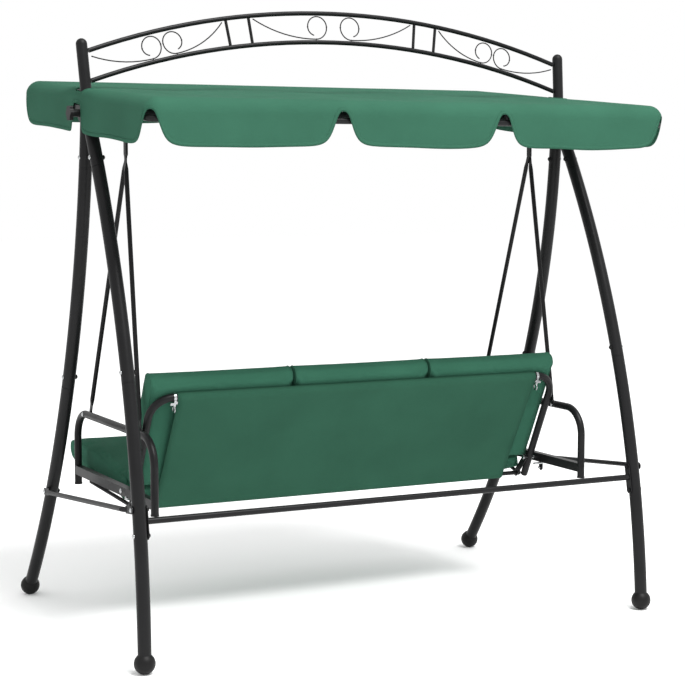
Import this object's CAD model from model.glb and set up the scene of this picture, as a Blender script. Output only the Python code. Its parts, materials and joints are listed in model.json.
"""Looks of the canopy swing bench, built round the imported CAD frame.

Metres, +Z up. The bench faces -Y and its long axis is X.
"""
import json
import math

import bmesh
import bpy
from mathutils import Matrix, Vector, noise
from mathutils.bvhtree import BVHTree


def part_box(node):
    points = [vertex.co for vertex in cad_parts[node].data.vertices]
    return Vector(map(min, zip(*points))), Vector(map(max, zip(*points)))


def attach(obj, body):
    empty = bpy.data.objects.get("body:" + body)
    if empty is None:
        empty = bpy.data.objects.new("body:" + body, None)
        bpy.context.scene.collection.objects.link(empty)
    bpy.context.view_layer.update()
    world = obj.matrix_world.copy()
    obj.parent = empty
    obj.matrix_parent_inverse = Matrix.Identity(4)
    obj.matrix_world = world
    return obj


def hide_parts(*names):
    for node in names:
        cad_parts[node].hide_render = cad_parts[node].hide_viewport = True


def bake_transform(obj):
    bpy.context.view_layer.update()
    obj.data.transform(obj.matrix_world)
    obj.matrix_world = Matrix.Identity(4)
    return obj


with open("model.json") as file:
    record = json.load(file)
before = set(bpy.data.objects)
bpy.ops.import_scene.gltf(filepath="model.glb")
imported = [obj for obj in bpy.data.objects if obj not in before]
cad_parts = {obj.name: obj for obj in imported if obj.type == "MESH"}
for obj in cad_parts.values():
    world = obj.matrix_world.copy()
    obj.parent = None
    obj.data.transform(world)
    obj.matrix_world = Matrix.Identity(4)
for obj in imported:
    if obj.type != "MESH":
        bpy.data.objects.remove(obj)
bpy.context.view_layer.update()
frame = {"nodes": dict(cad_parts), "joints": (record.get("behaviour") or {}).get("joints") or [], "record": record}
scene = bpy.context.scene
joints = {j["name"]: j for j in frame["joints"]}
BEAM = Vector(joints["canopy_tilt"]["pos_m"])
PIVOT = Vector(joints["backrest_fold"]["pos_m"])
MM = 0.001

# ---------------------------------------------------------------- camera and light

CAMERA_FROM_BEAM = Vector((2.7581, 5.5098, -0.1656))
CAMERA_YAW = math.radians(26.721)
CAMERA_PITCH = math.radians(5.522)
CAMERA_ROLL = math.radians(0.066)
CAMERA_LENS = 95.69
CAMERA_SENSOR = 36.0
CAMERA_REACH = 60

FLOOR_SIZE = 60
FLOOR_DROP = 0.5 * MM
FLOOR_WHITE = 0.96
FLOOR_GLOW = 0.06
KEY_PLACE, KEY_TARGET = (-1.0, 4.2, 8.0), (0, 0, 1.2)
KEY_SIZE, KEY_POWER = 4.5, 900


def make_camera():
    data = bpy.data.cameras.new("camera")
    data.lens = CAMERA_LENS
    data.sensor_width = CAMERA_SENSOR
    data.clip_end = CAMERA_REACH
    camera = bpy.data.objects.new("camera", data)
    scene.collection.objects.link(camera)
    forward = Vector((-math.sin(CAMERA_YAW) * math.cos(CAMERA_PITCH),
                      -math.cos(CAMERA_YAW) * math.cos(CAMERA_PITCH),
                      -math.sin(CAMERA_PITCH)))
    turn = forward.to_track_quat("-Z", "Y").to_matrix() @ Matrix.Rotation(CAMERA_ROLL, 3, "Z")
    camera.matrix_world = Matrix.Translation(BEAM + CAMERA_FROM_BEAM) @ turn.to_4x4()
    scene.camera = camera


def area_light(name, place, target, size, power):
    data = bpy.data.lights.new(name, "AREA")
    data.shape = "DISK"
    data.size = size
    data.energy = power
    light = bpy.data.objects.new(name, data)
    scene.collection.objects.link(light)
    light.location = place
    light.rotation_euler = (Vector(target) - Vector(place)).to_track_quat("-Z", "Y").to_euler()


def make_stage():
    bpy.ops.mesh.primitive_plane_add(size=FLOOR_SIZE, location=(0, 0, -FLOOR_DROP))
    floor = bpy.context.object
    floor.name = "floor"
    floor_paint, _, shader = new_material("floor_paint")
    shader.inputs["Base Color"].default_value = (FLOOR_WHITE, FLOOR_WHITE, FLOOR_WHITE, 1)
    shader.inputs["Roughness"].default_value = 1.0
    shader.inputs["Specular IOR Level"].default_value = 0.0
    shader.inputs["Emission Color"].default_value = (1, 1, 1, 1)
    shader.inputs["Emission Strength"].default_value = FLOOR_GLOW
    floor.data.materials.append(floor_paint)

    world = bpy.data.worlds.new("studio")
    world.use_nodes = True
    world.node_tree.nodes["Background"].inputs["Color"].default_value = (1, 1, 1, 1)
    world.node_tree.nodes["Background"].inputs["Strength"].default_value = 1.0
    scene.world = world
    area_light("key", KEY_PLACE, KEY_TARGET, KEY_SIZE, KEY_POWER)
    scene.view_settings.view_transform = "Standard"


# ---------------------------------------------------------------- materials


def new_material(name):
    material = bpy.data.materials.new(name)
    material.use_nodes = True
    tree = material.node_tree
    return material, tree, tree.nodes["Principled BSDF"]


def add_node(tree, kind, **values):
    """A shader node, with its inputs set by name (spaces written as _) or its own settings."""
    node = tree.nodes.new(kind)
    for key, value in values.items():
        if hasattr(node, key):
            setattr(node, key, value)
        else:
            node.inputs[key.replace("_", " ")].default_value = value
    return node


def shade_range(tree, source, dark, light, low=0.3, high=0.7):
    """A colour ramp from dark to light over a texture's middle values."""
    ramp = tree.nodes.new("ShaderNodeValToRGB")
    ramp.color_ramp.elements[0].position = low
    ramp.color_ramp.elements[0].color = (*dark, 1)
    ramp.color_ramp.elements[1].position = high
    ramp.color_ramp.elements[1].color = (*light, 1)
    tree.links.new(source, ramp.inputs["Fac"])
    return ramp.outputs["Color"]


def value_range(tree, source, low, high):
    ranged = add_node(tree, "ShaderNodeMapRange", To_Min=low, To_Max=high)
    tree.links.new(source, ranged.inputs["Value"])
    return ranged.outputs["Result"]


def scaled(colour, k):
    return tuple(min(1.0, c * k) for c in colour)


def object_noise(tree, scale, detail=3.0, roughness=0.55):
    """Noise over the object's own coordinates, in metres, so it moves with the piece."""
    place = add_node(tree, "ShaderNodeTexCoord")
    texture = add_node(tree, "ShaderNodeTexNoise", Scale=scale, Detail=detail, Roughness=roughness)
    tree.links.new(place.outputs["Object"], texture.inputs["Vector"])
    return texture.outputs["Fac"]


def bump(tree, shader, height, strength, distance, under=None):
    """Roughens a shader's surface by a height, over another bump where there is one."""
    node = add_node(tree, "ShaderNodeBump", Strength=strength, Distance=distance)
    tree.links.new(height, node.inputs["Height"])
    if under:
        tree.links.new(under, node.inputs["Normal"])
    tree.links.new(node.outputs["Normal"], shader.inputs["Normal"])
    return node.outputs["Normal"]


SATIN = 0.15


def powder_coat(name, colour, roughness):
    """Satin powder coat: a fine orange peel, and faint cloudy changes in tone and gloss."""
    material, tree, shader = new_material(name)
    cloud = object_noise(tree, 9.0, detail=4.0)
    tree.links.new(shade_range(tree, cloud, scaled(colour, 0.86), scaled(colour, 1.18)),
                   shader.inputs["Base Color"])
    tree.links.new(value_range(tree, object_noise(tree, 22.0), roughness - 0.06, roughness + 0.08),
                   shader.inputs["Roughness"])
    shader.inputs["Specular IOR Level"].default_value = SATIN
    bump(tree, shader, object_noise(tree, 850.0, detail=2.0), strength=0.16, distance=0.4 * MM)
    return material


def zinc_plate():
    """Bright zinc plate: a crystalline mottle in tone and gloss."""
    material, tree, shader = new_material("zinc_plate")
    shader.inputs["Metallic"].default_value = 1.0
    tree.links.new(shade_range(tree, object_noise(tree, 260.0), (0.30, 0.31, 0.31), (0.52, 0.53, 0.54)),
                   shader.inputs["Base Color"])
    tree.links.new(value_range(tree, object_noise(tree, 420.0), 0.16, 0.34), shader.inputs["Roughness"])
    bump(tree, shader, object_noise(tree, 1200.0, detail=2.0), strength=0.08, distance=0.2 * MM)
    return material


def moulded_plastic(name, colour, roughness):
    """Moulded plastic with a fine spark-eroded grain."""
    material, tree, shader = new_material(name)
    tree.links.new(shade_range(tree, object_noise(tree, 60.0), scaled(colour, 0.88), scaled(colour, 1.12)),
                   shader.inputs["Base Color"])
    tree.links.new(value_range(tree, object_noise(tree, 40.0), roughness - 0.05, roughness + 0.07),
                   shader.inputs["Roughness"])
    shader.inputs["Specular IOR Level"].default_value = SATIN
    bump(tree, shader, object_noise(tree, 1600.0), strength=0.12, distance=0.3 * MM)
    return material


def weave_height(tree, pitch):
    """Height of a plain weave in UV space (UVs are in metres): threads over and under in turn."""
    place = add_node(tree, "ShaderNodeTexCoord")
    threads = []
    for direction in ("X", "Y"):
        wave = add_node(tree, "ShaderNodeTexWave", bands_direction=direction, wave_profile="SIN",
                        Scale=2 * math.pi / (20 * pitch), Distortion=0.0)
        tree.links.new(place.outputs["UV"], wave.inputs["Vector"])
        threads.append(wave.outputs["Fac"])
    checker = add_node(tree, "ShaderNodeTexChecker", Scale=1 / pitch)
    tree.links.new(place.outputs["UV"], checker.inputs["Vector"])
    mix = add_node(tree, "ShaderNodeMix", data_type="FLOAT")
    tree.links.new(checker.outputs["Fac"], mix.inputs["Factor"])
    tree.links.new(threads[0], mix.inputs["A"])
    tree.links.new(threads[1], mix.inputs["B"])
    return mix.outputs["Result"]


def woven_cloth(name, colour, pitch, roughness=0.95):
    """Woven polyester: threads, slubs, cloudy dye and the faint crumple of cloth that was folded."""
    material, tree, shader = new_material(name)
    weave = weave_height(tree, pitch)
    dye = shade_range(tree, object_noise(tree, 5.0, detail=4.0), scaled(colour, 0.93), scaled(colour, 1.07))
    slub = shade_range(tree, object_noise(tree, 420.0, detail=2.0), (0.92, 0.92, 0.92), (1.0, 1.0, 1.0))
    thread = shade_range(tree, weave, (0.88, 0.88, 0.88), (1.0, 1.0, 1.0), low=0.0, high=1.0)
    colour_now = dye
    for layer in (slub, thread):
        blend = add_node(tree, "ShaderNodeMix", data_type="RGBA", blend_type="MULTIPLY")
        blend.inputs["Factor"].default_value = 1.0
        tree.links.new(colour_now, blend.inputs["A"])
        tree.links.new(layer, blend.inputs["B"])
        colour_now = blend.outputs["Result"]
    tree.links.new(colour_now, shader.inputs["Base Color"])
    shader.inputs["Roughness"].default_value = roughness
    shader.inputs["Specular IOR Level"].default_value = 0.06
    crumple = bump(tree, shader, object_noise(tree, 16.0), strength=0.18, distance=6 * MM)
    bump(tree, shader, weave, strength=0.5, distance=0.6 * MM, under=crumple)
    return material


CLOTH_GREEN = (0.0345, 0.1160, 0.0745)
SLING_GREEN = (0.0281, 0.0945, 0.0600)
PAD_GREEN = (0.0350, 0.1230, 0.0790)
THREAD_GREEN = (0.0310, 0.1060, 0.0670)
FRAME_GREY = (0.0085, 0.0085, 0.0090)

materials = {
    "powder_coat": powder_coat("powder_coat", FRAME_GREY, 0.36),
    "black_plastic": moulded_plastic("black_plastic", (0.0080, 0.0078, 0.0080), 0.45),
    "white_plastic": moulded_plastic("white_plastic", (0.70, 0.70, 0.66), 0.45),
    "zinc": zinc_plate(),
    "canopy_cloth": woven_cloth("canopy_cloth", CLOTH_GREEN, 1.1 * MM),
    "sling_cloth": woven_cloth("sling_cloth", SLING_GREEN, 1.1 * MM),
    "cushion_cloth": woven_cloth("cushion_cloth", PAD_GREEN, 1.0 * MM),
    "thread": woven_cloth("thread", THREAD_GREEN, 0.6 * MM),
}


def dress_cad_nodes():
    """Gives each CAD node the material of its slot in the record."""
    slots = {s["node"]: s["material_slot"] for s in frame["record"]["subparts"]}
    for name, obj in frame["nodes"].items():
        obj.data.materials.clear()
        obj.data.materials.append(materials[slots[name]])


# ---------------------------------------------------------------- mesh helpers


def mesh_object(name, points, faces, material, uvs=None):
    """A smooth-shaded mesh from points and faces, with a UV for each point where they are given."""
    mesh = bpy.data.meshes.new(name)
    mesh.from_pydata(points, [], faces)
    mesh.validate()
    mesh.update()
    for polygon in mesh.polygons:
        polygon.use_smooth = True
    if uvs is not None:
        layer = mesh.uv_layers.new(name="UVMap")
        for loop in mesh.loops:
            layer.data[loop.index].uv = uvs[loop.vertex_index]
    obj = bpy.data.objects.new(name, mesh)
    scene.collection.objects.link(obj)
    mesh.materials.append(materials[material])
    return obj


def apply_modifier(obj, kind, **settings):
    bpy.context.view_layer.objects.active = obj
    modifier = obj.modifiers.new(kind.lower(), kind)
    for key, value in settings.items():
        setattr(modifier, key, value)
    bpy.ops.object.modifier_apply(modifier=modifier.name)


def grid_faces(rows, columns, closed=False):
    """Quads of a grid of points stored row by row."""
    faces = []
    for i in range(rows - 1):
        for j in range(columns if closed else columns - 1):
            k = (j + 1) % columns
            faces.append((i * columns + j, i * columns + k, (i + 1) * columns + k, (i + 1) * columns + j))
    return faces


def tube(name, path, radius, material, closed=False, sides=8):
    """A round tube along a path of points."""
    points, count = [], len(path)
    side = None
    for i, p in enumerate(path):
        ahead = path[(i + 1) % count] if closed or i + 1 < count else p
        behind = path[i - 1] if closed or i > 0 else p
        along = (ahead - behind).normalized()
        if side is None:
            side = along.orthogonal().normalized()
        side = (side - along * side.dot(along)).normalized()
        up = along.cross(side)
        for k in range(sides):
            a = 2 * math.pi * k / sides
            points.append(p + radius * (math.cos(a) * side + math.sin(a) * up))
    rows = count + 1 if closed else count
    faces = [tuple(v % len(points) for v in f) for f in grid_faces(rows, sides, closed=True)]
    if not closed:
        faces.append(tuple(range(sides))[::-1])
        faces.append(tuple(range(len(points) - sides, len(points))))
    return mesh_object(name, points, faces, material, uvs=[(p.x, p.z) for p in points])


def stitches(name, path, normals, material, pitch=6 * MM, length=4.4 * MM, width=0.3 * MM, height=0.25 * MM):
    """A row of thread stitches that lies on a surface along a path."""
    points, faces = [], []
    lengths = [0.0]
    for a, b in zip(path, path[1:]):
        lengths.append(lengths[-1] + (b - a).length)
    k = 0
    for n in range(int(lengths[-1] / pitch)):
        ends = []
        for s in (n * pitch, n * pitch + length / 2, n * pitch + length):
            while k < len(lengths) - 2 and lengths[k + 1] < s:
                k += 1
            t = min(1.0, (s - lengths[k]) / max(lengths[k + 1] - lengths[k], 1e-9))
            ends.append((path[k].lerp(path[k + 1], t), normals[k].lerp(normals[k + 1], t).normalized()))
        along = (ends[2][0] - ends[0][0]).normalized()
        base = len(points)
        for (p, up), rise in zip(ends, (0.0, 1.0, 0.0)):
            across = along.cross(up).normalized() * width
            lift = up * height * rise
            points += [p - across, p + lift, p + across, p - up * height * 0.4]
        for r in range(2):
            for c in range(4):
                d = (c + 1) % 4
                faces.append((base + 4 * r + c, base + 4 * r + d, base + 4 * r + 4 + d, base + 4 * r + 4 + c))
        faces += [tuple(base + c for c in (3, 2, 1, 0)), tuple(base + 8 + c for c in (0, 1, 2, 3))]
    return mesh_object(name, points, faces, material, uvs=[(p.x, p.y) for p in points])


def join(name, objects):
    bpy.ops.object.select_all(action="DESELECT")
    for obj in objects:
        obj.select_set(True)
    bpy.context.view_layer.objects.active = objects[0]
    bpy.ops.object.join()
    joined = bpy.context.object
    joined.name = name
    return joined


# ---------------------------------------------------------------- canopy


class Canopy:
    """The canopy's cloth: a flat top, rounded edges and a scalloped valance, in the canopy's own frame.

    A place on the side is (s, z): s runs round the outline and z is the height above the pivot.
    """
    SLOPE = math.radians(4.6)
    HALF_X, HALF_Y = 0.910, 0.600
    TOP, HEM = 0.080, -0.062
    EDGE_R = 0.046
    NOTCH_RISE, NOTCH_HALF, NOTCH_POWER = 0.108, 0.0335, 3.1
    NOTCH_X = 0.283
    SLOT_Y, SLOT_RISE = -0.023, 0.092
    SLOT_HALF, SLOT_POWER = {-1: 0.041, 1: 0.044}, {-1: 16, 1: 6}
    BOW_X = (0.300, 0.820)
    POST = Vector((0.885, -0.017))
    POST_HOLE = Vector((0.0215, 0.0450))
    CLOTH_T = 1.4 * MM
    SAG, UNEVEN, DIP = 7 * MM, 1.2 * MM, 2 * MM
    FLARE, RIPPLE = 2 * MM, 4.5 * MM
    DEEP_WAVE, FINE_WAVE = 6 * MM, 3 * MM
    UPRIGHT = 2.2
    ARC_STEPS, VALANCE_ROWS = 9, 10
    STATION_STEP, STATION_GAP = 0.045, 0.0015
    NOTCH_STEPS = (0.0, 0.25, 0.5, 0.68, 0.8, 0.88, 0.94, 1.0, 1.06, 1.13, 1.22, 1.35, 1.55, 1.85, 2.3, 2.9)

    def __init__(self):
        self.inner_x = self.HALF_X - self.EDGE_R
        self.inner_y = self.HALF_Y - self.EDGE_R
        self.corner = math.pi / 2 * self.EDGE_R
        self.shoulder = self.TOP - self.EDGE_R
        self.sides = [2 * self.inner_x, 2 * self.inner_y] * 2
        self.length = sum(self.sides) + 4 * self.corner
        self.matrix = Matrix.Translation(BEAM) @ Matrix.Rotation(-self.SLOPE, 4, "X")
        self.notches = self.notch_places()

    def world(self, p):
        return self.matrix @ p

    def anchor(self, s):
        """Anchor on the top's inner rectangle, and the outward normal, at s along the outline."""
        corners = [Vector((-1, 1)), Vector((1, 1)), Vector((1, -1)), Vector((-1, -1))]
        s %= self.length
        for k, side in enumerate(self.sides):
            a = Vector((corners[k].x * self.inner_x, corners[k].y * self.inner_y))
            b = Vector((corners[(k + 1) % 4].x * self.inner_x, corners[(k + 1) % 4].y * self.inner_y))
            out = math.pi / 2 - k * math.pi / 2
            if s <= side:
                return a.lerp(b, s / side), Vector((math.cos(out), math.sin(out)))
            s -= side
            if s <= self.corner:
                turn = out - s / self.EDGE_R
                return b, Vector((math.cos(turn), math.sin(turn)))
            s -= self.corner
        return a, Vector((math.cos(out), math.sin(out)))

    def side_start(self, k):
        return sum(self.sides[:k]) + k * self.corner

    def notch_places(self):
        """(s of the middle, half width per side, power per side, rise) of every notch and slot."""
        rise, half, power = self.NOTCH_RISE, self.NOTCH_HALF, self.NOTCH_POWER
        places = []
        for k in range(4):
            start, side = self.side_start(k), self.sides[k]
            even = ({-1: half, 1: half}, {-1: power, 1: power}, rise)
            places.append((start + side + self.corner / 2, *even))
            if k % 2 == 0:
                for x in (-self.NOTCH_X, self.NOTCH_X):
                    places.append((start + side / 2 + x, *even))
            else:
                way = 1 if k == 1 else -1
                middle = start + side / 2 - way * self.SLOT_Y
                places.append((middle, {-way: self.SLOT_HALF[1], way: self.SLOT_HALF[-1]},
                               {-way: self.SLOT_POWER[1], way: self.SLOT_POWER[-1]}, self.SLOT_RISE))
        return places

    def hem(self, s):
        """Height of the cloth's lower edge at s."""
        rise = 0.0
        for middle, half, power, most in self.notches:
            u = (s - middle + self.length / 2) % self.length - self.length / 2
            side = 1 if u > 0 else -1
            rise = max(rise, most / (1 + (abs(u) / half[side]) ** power[side]))
        ripple = self.RIPPLE * noise.noise(Vector((s * 5.5, 0.3, 0.0)))
        return self.HEM + rise + ripple

    def stations(self):
        """Places along the outline: coarse on the straights, fine at the notches."""
        found = set()
        for k in range(4):
            start, side = self.side_start(k), self.sides[k]
            steps = round(side / self.STATION_STEP)
            found.update(start + side * i / steps for i in range(steps + 1))
            found.update(start + side + self.corner * i / self.ARC_STEPS for i in range(self.ARC_STEPS))
        for middle, half, power, _ in self.notches:
            reach = [middle + side * half[side] * (step if power[side] < 5 else 1 + (step - 1) * 0.35)
                     for side in (-1, 1) for step in self.NOTCH_STEPS]
            low, high = min(reach), max(reach)
            kept = {s for s in found if not low < s < high or self.on_corner(s)}
            found = kept | {r % self.length for r in reach if not self.on_corner(r)}
        ordered = sorted(found)
        return [s for s, n in zip(ordered, ordered[1:] + [self.length]) if n - s > self.STATION_GAP]

    def on_corner(self, s):
        s %= self.length
        ends = [self.side_start(k) + self.sides[k] for k in range(4)]
        return any(end - 1e-6 <= s <= end + self.corner + 1e-6 for end in ends)

    def side_point(self, s, z, lift=0.0):
        """A point of the valance, with the slight waves of hanging cloth."""
        a, n = self.anchor(s)
        if z > self.shoulder:
            p = self.edge_point(s, self.edge_angle(s, z))
            return Vector((p.x + n.x * lift, p.y + n.y * lift, p.z))
        depth = max(0.0, (self.shoulder - z) / (self.shoulder - self.HEM))
        wave = (self.DEEP_WAVE * noise.noise(Vector((s * 3.1, z * 3.0, 1.7)))
                + self.FINE_WAVE * noise.noise(Vector((s * 9.0, z * 4.0, 5.1))))
        flare = self.FLARE * depth + wave * depth ** 1.3
        p = a + n * (self.EDGE_R + flare + lift)
        return Vector((p.x, p.y, z))

    def sag(self, x, y):
        """How far the top sinks between the bows, and how uneven it is."""
        stops = sorted(side * b for side in (-1, 1) for b in self.BOW_X)
        low = max([b for b in stops if b <= x], default=-self.HALF_X)
        high = min([b for b in stops if b > x], default=self.HALF_X)
        t = (x - low) / max(high - low, 1e-6)
        across = math.cos(math.pi / 2 * min(1.0, abs(y) / self.inner_y))
        depth = self.SAG * math.sin(math.pi * t) ** 2 * across ** 0.6 if high - low > 0.1 else 0.0
        return depth + self.UNEVEN * (0.5 + 0.5 * noise.noise(Vector((x * 5, y * 5, 2.2))))

    def dip(self, x, y):
        """How far the cloth is drawn down round the posts."""
        d = math.hypot((abs(x) - self.POST.x) / 0.06, (y - self.POST.y) / 0.11)
        return self.DIP * math.exp(-d * d)

    def squareness(self, x, y):
        """Exponent of the rounded edge: round everywhere, but held up square where the posts come through."""
        if abs(x) <= self.inner_x - 0.001:
            return 2.0
        return 2.0 + self.UPRIGHT * math.exp(-((y - self.POST.y) / 0.13) ** 2)

    def edge(self, s, angle):
        """Outward reach and rise of the rounded edge at an angle above the horizontal."""
        a, _ = self.anchor(s)
        power = 2.0 / self.squareness(a.x, a.y)
        return tuple(self.EDGE_R * max(0.0, part) ** power for part in (math.cos(angle), math.sin(angle)))

    def edge_angle(self, s, z):
        """Angle on the rounded edge at height z."""
        a, _ = self.anchor(s)
        rise = min(1.0, max(0.0, (z - self.shoulder) / self.EDGE_R))
        return math.asin(rise ** (self.squareness(a.x, a.y) / 2.0))

    def top_point(self, x, y):
        return Vector((x, y, self.TOP - self.sag(x, y) - self.dip(x, y)))

    def edge_point(self, s, angle):
        a, n = self.anchor(s)
        reach, rise = self.edge(s, angle)
        p = a + n * reach
        sunk = (self.dip(p.x, p.y) + self.sag(a.x, a.y)) * rise / self.EDGE_R
        return Vector((p.x, p.y, self.shoulder + rise - sunk))

    def surface(self, x, y):
        """Height of the top at x, y, on its flat part or its rounded edge."""
        out = min(1.0, max(0.0, abs(x) - self.inner_x) / self.EDGE_R)
        power = self.squareness(self.HALF_X, y)
        rise = self.EDGE_R * (1 - out ** power) ** (1 / power)
        return self.shoulder + rise - self.sag(x, y) - self.dip(x, y)


def make_canopy():
    """The cloth as one sheet, from the top's grid over the rounded edge to the scalloped hem."""
    canopy = Canopy()
    places = canopy.stations()
    anchors = [canopy.anchor(s) for s in places]
    xs = sorted({round(a.x, 6) for a, n in anchors if abs(n.x) < 1e-6})
    ys = sorted({round(a.y, 6) for a, n in anchors if abs(n.y) < 1e-6})
    points, uvs, faces, index = [], [], [], {}

    def put(p, uv):
        key = (round(p.x, 5), round(p.y, 5), round(p.z, 5))
        if key not in index:
            index[key] = len(points)
            points.append(canopy.world(p))
            uvs.append(uv)
        return index[key]

    top = [[put(canopy.top_point(x, y), (x, y)) for x in xs] for y in ys]
    for i in range(len(ys) - 1):
        for j in range(len(xs) - 1):
            faces.append((top[i][j], top[i][j + 1], top[i + 1][j + 1], top[i + 1][j]))
    rings = []
    for s, (a, _) in zip(places, anchors):
        nearest_x = min(xs, key=lambda x: abs(x - a.x))
        nearest_y = min(ys, key=lambda y: abs(y - a.y))
        ring = [put(canopy.top_point(nearest_x, nearest_y), (a.x, a.y))]
        low = canopy.hem(s)
        last = canopy.edge_angle(s, low)
        for step in range(1, canopy.ARC_STEPS + 1):
            angle = math.pi / 2 + (last - math.pi / 2) * step / canopy.ARC_STEPS
            ring.append(put(canopy.edge_point(s, angle), (s, 0.3 + angle * canopy.EDGE_R)))
        for r in range(1, canopy.VALANCE_ROWS + 1):
            if low > canopy.shoulder:
                ring.append(ring[-1])
                continue
            z = canopy.shoulder + (low - canopy.shoulder) * r / canopy.VALANCE_ROWS
            ring.append(put(canopy.side_point(s, z), (s, z)))
        rings.append(ring)
    for k, ring in enumerate(rings):
        following = rings[(k + 1) % len(rings)]
        for r in range(len(ring) - 1):
            corners = [ring[r], ring[r + 1], following[r + 1], following[r]]
            face = list(dict.fromkeys(corners))
            if len(face) > 2:
                faces.append(tuple(face))
    cloth = mesh_object("canopy_cloth", points, faces, "canopy_cloth", uvs=uvs)
    clean(cloth)
    apply_modifier(cloth, "SOLIDIFY", thickness=canopy.CLOTH_T, offset=-1.0)
    cut_post_holes(canopy, cloth)
    trims = canopy_trims(canopy)
    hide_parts("canopy_cover")
    for piece in [cloth] + trims:
        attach(piece, "canopy")


def clean(obj):
    """Welds near points and turns all faces outwards."""
    mesh = bmesh.new()
    mesh.from_mesh(obj.data)
    bmesh.ops.remove_doubles(mesh, verts=mesh.verts, dist=0.00002)
    bmesh.ops.recalc_face_normals(mesh, faces=mesh.faces)
    mesh.to_mesh(obj.data)
    mesh.free()


def post_hole_outline(canopy, side, grow=0.0, steps=40):
    """Outline of the hole that a post passes through, as points on the canopy's top."""
    outline = []
    radius = canopy.POST_HOLE.x + grow
    straight = canopy.POST_HOLE.y - canopy.POST_HOLE.x
    for k in range(steps):
        a = 2 * math.pi * (k + 0.5) / steps
        x = side * canopy.POST.x + radius * math.cos(a)
        y = canopy.POST.y + radius * math.sin(a) + math.copysign(straight, math.sin(a))
        outline.append(Vector((x, y, canopy.surface(x, y))))
    return outline


def prism(name, ends, material):
    """A closed solid between two rings of points."""
    count = len(ends[0])
    faces = grid_faces(2, count, closed=True) + [tuple(range(count))[::-1], tuple(range(count, 2 * count))]
    obj = mesh_object(name, ends[0] + ends[1], faces, material)
    clean(obj)
    return obj


def cut_post_holes(canopy, cloth):
    """Cuts the two holes, on the rounded edge, that the posts come up through."""
    below, above = 0.02, 0.12
    for side in (-1, 1):
        outline = post_hole_outline(canopy, side)
        ends = [[canopy.world(Vector((p.x, p.y, z))) for p in outline] for z in (below, above)]
        cutter = prism("post_cutter", ends, "thread")
        apply_modifier(cloth, "BOOLEAN", operation="DIFFERENCE", solver="EXACT", object=cutter)
        bpy.data.objects.remove(cutter)


def canopy_trims(canopy):
    """The folded hem round the valance, its stitching, and the bound edges of the post holes."""
    fold, seam_up, lap, lift = 12 * MM, 10 * MM, 0.4 * MM, 0.35 * MM
    edge, inner, seam, fine = [], [], [], []
    places = canopy.stations()
    for s, after in zip(places, places[1:] + [canopy.length]):
        parts = 2 if after - s < 0.06 else 3
        fine += [s + (after - s) * k / parts for k in range(parts)]
    count = len(fine)
    once_round = Vector((canopy.length, 0))
    flat = [Vector((s, canopy.hem(s))) for s in fine]
    for k, p in enumerate(flat):
        before = flat[k - 1] - (once_round if k == 0 else Vector((0, 0)))
        after = flat[(k + 1) % count] + (once_round if k == count - 1 else Vector((0, 0)))
        along = (after - before).normalized()
        up = Vector((-along.y, along.x))
        edge.append(p - up * lap)
        inner.append(p + up * fold)
        seam.append(p + up * seam_up)
    rows = [[(q.x, q.y, 0.0) for q in edge], [(q.x, q.y, lift) for q in edge],
            [(q.x, q.y, lift) for q in inner], [(q.x, q.y, 0.0) for q in inner]]
    points, uvs = [], []
    for row in rows:
        for s, z, out in row:
            points.append(canopy.world(canopy.side_point(s, z, out)))
            uvs.append((s, z))
    hem = mesh_object("canopy_hem", points, grid_faces(4, count, closed=True), "canopy_cloth", uvs=uvs)
    clean(hem)
    path, outward = [], []
    for q in seam:
        on, off, far = (canopy.world(canopy.side_point(q.x, q.y, out)) for out in (0.0, lift, 0.01))
        path.append(off)
        outward.append(far - on)
    path.append(path[0])
    outward.append(outward[0])
    thread = stitches("canopy_hem_stitches", path, [n.normalized() for n in outward], "thread")
    rings = [tube("canopy_post_binding_%s" % name,
                  [canopy.world(p) for p in post_hole_outline(canopy, side, grow=0.5 * MM)],
                  2.2 * MM, "canopy_cloth", closed=True)
             for name, side in (("left", 1), ("right", -1))]
    return [hem, thread] + rings


# ---------------------------------------------------------------- slings

SLING_HALF = 0.665
SLING_T = 1.6 * MM
BACK_LEN = 0.350
BACK_LEAN = math.radians(26.5)
BOTTOM_RAIL = Vector((0, BEAM.y - 0.025, 0.403))
FRONT_WRAP, BOTTOM_WRAP, TOP_WRAP = 0.0125, 0.0140, 0.0142


def node_centre(name):
    """The middle of a CAD node's box."""
    low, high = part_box(name)
    return (low + high) / 2


def arc(centre, radius, start, end, steps):
    """Points of an arc in the YZ plane, between two angles in degrees from +Y towards +Z."""
    angles = [math.radians(start + (end - start) * k / steps) for k in range(steps + 1)]
    return [Vector((0, centre.y + radius * math.cos(a), centre.z + radius * math.sin(a))) for a in angles]


def resample(path, step):
    """The same path with evenly spaced points."""
    lengths = [0.0]
    for a, b in zip(path, path[1:]):
        lengths.append(lengths[-1] + (b - a).length)
    count = max(2, round(lengths[-1] / step))
    points, k = [], 0
    for i in range(count + 1):
        s = lengths[-1] * i / count
        while k < len(lengths) - 2 and lengths[k + 1] < s:
            k += 1
        t = (s - lengths[k]) / max(lengths[k + 1] - lengths[k], 1e-9)
        points.append(path[k].lerp(path[k + 1], t))
    return points


def back_point(up, front):
    """A point of the backrest's own frame: up along the backrest and out of its front, in metres."""
    return Vector((0, PIVOT.y + up * math.sin(BACK_LEAN) - front * math.cos(BACK_LEAN),
                   PIVOT.z + up * math.cos(BACK_LEAN) + front * math.sin(BACK_LEAN)))


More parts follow.
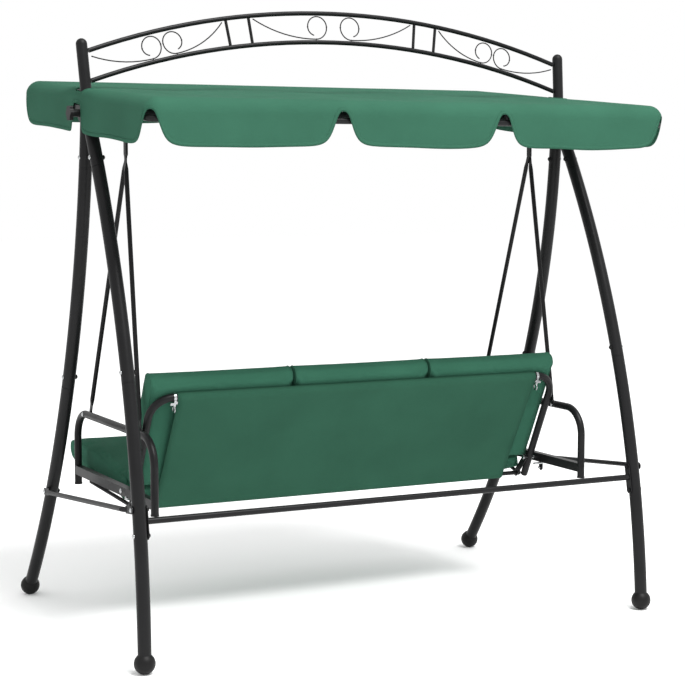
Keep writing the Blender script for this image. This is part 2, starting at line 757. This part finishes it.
def sling_path():
    """The sling's line from its sleeve under the front rail, round the bottom rail, to the top rail."""
    front_rail = node_centre("front_rail")
    top_rail = back_point(BACK_LEN, 0)
    path = [front_rail + Vector((0, 0.060, -0.002))]
    path += arc(front_rail, FRONT_WRAP, 290, 80, 14)
    path += arc(BOTTOM_RAIL, BOTTOM_WRAP, 262, 368, 10)
    path += arc(top_rail, TOP_WRAP, -30, 190, 16)
    path += [back_point(BACK_LEN - 0.045, 0.010)]
    return resample(path, 0.012)


def make_sling():
    """Seat and back slings as one cloth that goes on round the bottom rail."""
    path = sling_path()
    columns = 56
    points, uvs, run = [], [], 0.0
    for k, p in enumerate(path):
        run += (p - path[k - 1]).length if k else 0.0
        for j in range(columns + 1):
            x = -SLING_HALF + 2 * SLING_HALF * j / columns
            points.append(Vector((x, p.y, p.z)))
            uvs.append((x, run))
    cloth = mesh_object("sling", points, grid_faces(len(path), columns + 1), "sling_cloth", uvs=uvs)
    clean(cloth)
    apply_modifier(cloth, "SOLIDIFY", thickness=SLING_T, offset=0.0)
    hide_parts("back_sling", "seat_sling")
    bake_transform(cloth)


# ---------------------------------------------------------------- cushions


def extruded(name, outline, x0, x1, inset, material):
    """A closed prism over an outline in the YZ plane, drawn in by inset on every side."""
    centre = sum(outline, Vector((0, 0, 0))) / len(outline)
    drawn = []
    count = len(outline)
    for k, p in enumerate(outline):
        a = (p - outline[k - 1]).normalized()
        b = (outline[(k + 1) % count] - p).normalized()
        inward = Vector((0, -(a + b).z, (a + b).y)).normalized()
        if inward.dot(centre - p) < 0:
            inward.negate()
        drawn.append(p + inward * inset)
    return prism(name, [[Vector((x, p.y, p.z)) for p in drawn] for x in (x0 + inset, x1 - inset)], material)


def inflate(obj, voxel, pressure, most):
    """Swells a closed mesh like a stuffed cover, by cloth with pressure, and no vertex further than most."""
    frames = 20
    apply_modifier(obj, "REMESH", mode="VOXEL", voxel_size=voxel, use_smooth_shade=True)
    rest = [v.co.copy() for v in obj.data.vertices]
    cloth = obj.modifiers.new("cloth", "CLOTH")
    cloth.settings.quality = 6
    cloth.settings.mass = 0.3
    cloth.settings.tension_stiffness = 12
    cloth.settings.compression_stiffness = 12
    cloth.settings.shear_stiffness = 6
    cloth.settings.bending_stiffness = 0.6
    cloth.settings.use_pressure = True
    cloth.settings.uniform_pressure_force = pressure
    cloth.settings.effector_weights.gravity = 0
    cloth.point_cache.frame_end = frames
    for number in range(1, frames + 1):
        scene.frame_set(number)
    depsgraph = bpy.context.evaluated_depsgraph_get()
    moved = [v.co.copy() for v in obj.evaluated_get(depsgraph).data.vertices]
    obj.modifiers.remove(cloth)
    scene.frame_set(1)
    for vertex, a, b in zip(obj.data.vertices, rest, moved):
        step = b - a
        if step.length > most:
            step *= most / step.length
        vertex.co = a + step


def box_uvs(obj):
    """UVs in metres, projected along each face's main direction."""
    layer = obj.data.uv_layers.new(name="UVMap")
    for polygon in obj.data.polygons:
        n = polygon.normal
        along_x = abs(n.x) > max(abs(n.y), abs(n.z))
        for loop in polygon.loop_indices:
            p = obj.data.vertices[obj.data.loops[loop].vertex_index].co
            layer.data[loop].uv = (p.y, p.z) if along_x else (p.x, p.z if abs(n.y) > abs(n.z) else p.y)


CUSHION_LEN = 1.504
SECTION_GAP = 0.002
SECTION = (CUSHION_LEN - 2 * SECTION_GAP) / 3
END_STRETCH = 1.02
BACK_TUBE_SIDE, BACK_TUBE_SWEEP = 0.728, 0.083
SECTION_X = {"right": -1, "left": 1, "middle": 0}
DRAWN_IN, END_SPARE = 4 * MM, 3 * MM
WELT_R, WELT_IN, WELT_LIFT = 1.7 * MM, 4 * MM, 0.3 * MM


def seat_outline():
    """Side outline of the seat cushion, from the rear low edge round under the front."""
    y = BEAM.y
    return [Vector((0, y + a, b)) for a, b in (
        (-0.058, 0.492), (-0.230, 0.516), (-0.405, 0.5405), (-0.520, 0.5455), (-0.605, 0.5445),
        (-0.634, 0.530), (-0.634, 0.500), (-0.613, 0.476), (-0.566, 0.458), (-0.490, 0.455),
        (-0.436, 0.461), (-0.418, 0.4705), (-0.400, 0.4710), (-0.225, 0.4380), (-0.090, 0.4135),
        (-0.050, 0.4140), (-0.030, 0.421), (-0.004, 0.456))]


def back_outline():
    """Side outline of the back cushion, as places up the backrest and out of its front."""
    return [back_point(up, front) for up, front in (
        (-0.020, 0.022), (0.10, 0.019), (0.33, 0.018), (0.392, 0.020), (0.410, 0.036),
        (0.411, 0.072), (0.391, 0.093), (0.20, 0.092), (0.00, 0.092), (-0.020, 0.078))]


def clear_of_backrest(obj):
    """Presses the ends of a seat section out of the way that the backrest's tube takes when it folds."""
    for vertex in obj.data.vertices:
        away = Vector((0, vertex.co.y - PIVOT.y, vertex.co.z - PIVOT.z))
        if abs(vertex.co.x) > BACK_TUBE_SIDE and away.length < BACK_TUBE_SWEEP:
            vertex.co += away.normalized() * (BACK_TUBE_SWEEP - away.length)


def place_copies(source, prefix, body, node_prefix):
    """The three sections of a cushion: the outer two are copies, made before the middle one is declared."""
    for name, k in SECTION_X.items():
        obj = source if k == 0 else source.copy()
        if k:
            obj.data = source.data.copy()
            scene.collection.objects.link(obj)
            if k < 0:
                obj.data.transform(Matrix.Scale(-1, 4, (1, 0, 0)))
                obj.data.flip_normals()
            obj.data.transform(Matrix.Translation((k * (SECTION + SECTION_GAP), 0, 0)))
            if body == "bench":
                clear_of_backrest(obj)
        obj.name = "%s_%s" % (prefix, name)
        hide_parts("%s_%s" % (node_prefix, name))
        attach(obj, body)


def piping(obj, name, outline, x):
    """A welt round one end of a cushion, laid on its swollen surface."""
    depsgraph = bpy.context.evaluated_depsgraph_get()
    surface = BVHTree.FromObject(obj, depsgraph)
    path = []
    for p in resample(outline + outline[:1], 0.008)[:-1]:
        place, normal, _, _ = surface.find_nearest(Vector((x, p.y, p.z)))
        path.append(place + normal * WELT_LIFT)
    smooth = [(path[k - 1] + path[k] * 2 + path[(k + 1) % len(path)]) / 4 for k in range(len(path))]
    return tube(name, smooth, WELT_R, "cushion_cloth", closed=True, sides=6)


def make_cushion(prefix, outline, body, node_prefix):
    """One stuffed section with a welt round each end, and its copies."""
    half = SECTION / 2
    end = half + END_SPARE
    section = extruded(prefix + "_section", outline, -end, end, DRAWN_IN, "cushion_cloth")
    inflate(section, voxel=6 * MM, pressure=4.0, most=8 * MM)
    apply_modifier(section, "SMOOTH", factor=0.5, iterations=3)
    for vertex in section.data.vertices:
        vertex.co.x = max(-half, min(half, vertex.co.x * END_STRETCH))
    welts = [piping(section, prefix + "_welt", outline, side * (half - WELT_IN)) for side in (-1, 1)]
    apply_modifier(section, "SUBSURF", levels=1)
    box_uvs(section)
    section = join(prefix + "_section", [section] + welts)
    place_copies(section, prefix, body, node_prefix)


# ---------------------------------------------------------------- scene

make_camera()
make_stage()
dress_cad_nodes()
make_canopy()
make_sling()
make_cushion("back_pad", back_outline(), "backrest", "back_cushion")
make_cushion("seat_pad", seat_outline(), "bench", "seat_cushion")

for name, obj in frame["nodes"].items():
    if not obj.hide_render:
        obj.data.shade_smooth()
        obj.data.set_sharp_from_angle(angle=math.radians(32))
